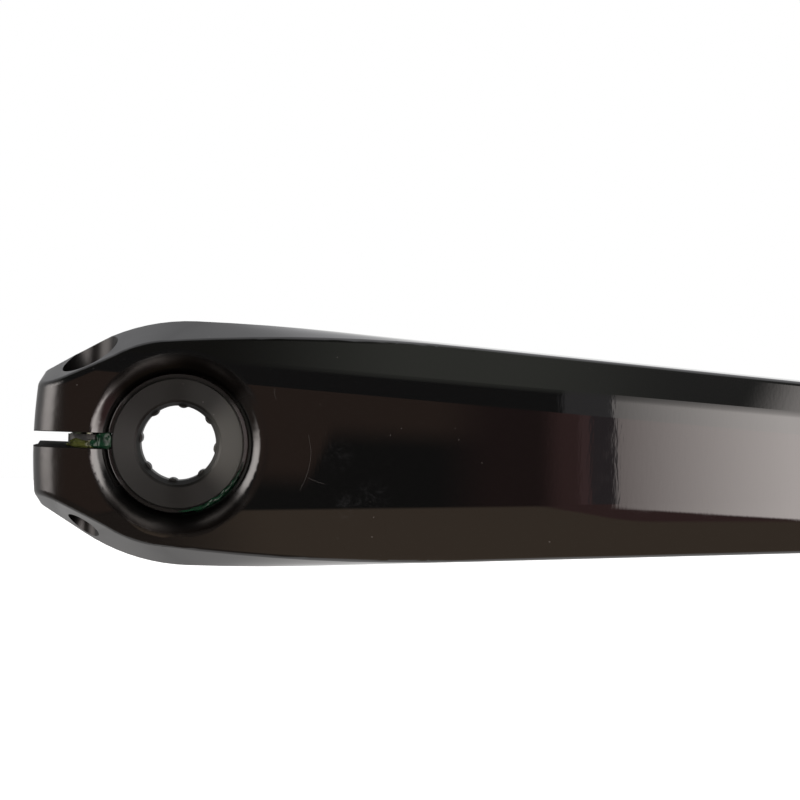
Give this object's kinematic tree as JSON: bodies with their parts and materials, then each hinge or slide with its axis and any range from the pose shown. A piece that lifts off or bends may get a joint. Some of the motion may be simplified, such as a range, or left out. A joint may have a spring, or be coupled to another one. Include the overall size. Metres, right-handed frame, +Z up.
{
  "type": "bicycle crank arm",
  "caption": "Left bicycle crank arm in gloss black forged aluminium, with a split clamp for a splined spindle, pinch bolts, a plastic preload cap and a threaded pedal eye.",
  "frame": {"origin": "on the spindle axis, at the bearing face of the clamp head", "axes": "X runs from the spindle to the pedal, Y along the spindle towards the bicycle, Z up across the arm; the outer face looks along -Y"},
  "size_m": [0.214, 0.0404, 0.049],
  "materials": {
    "black_anodised": "gloss black anodised, with faint smudges, dust and fine scratches",
    "black_plastic": "moulded, satin",
    "bolt_steel": "plated steel, some grease",
    "dark_plastic": "moulded, greasy"
  },
  "bodies": {
    "root": {"crank_arm": "black_anodised", "preload_cap": "black_plastic", "pinch_bolts": "bolt_steel", "stopper_plate": "dark_plastic"}
  },
  "joints": []
}
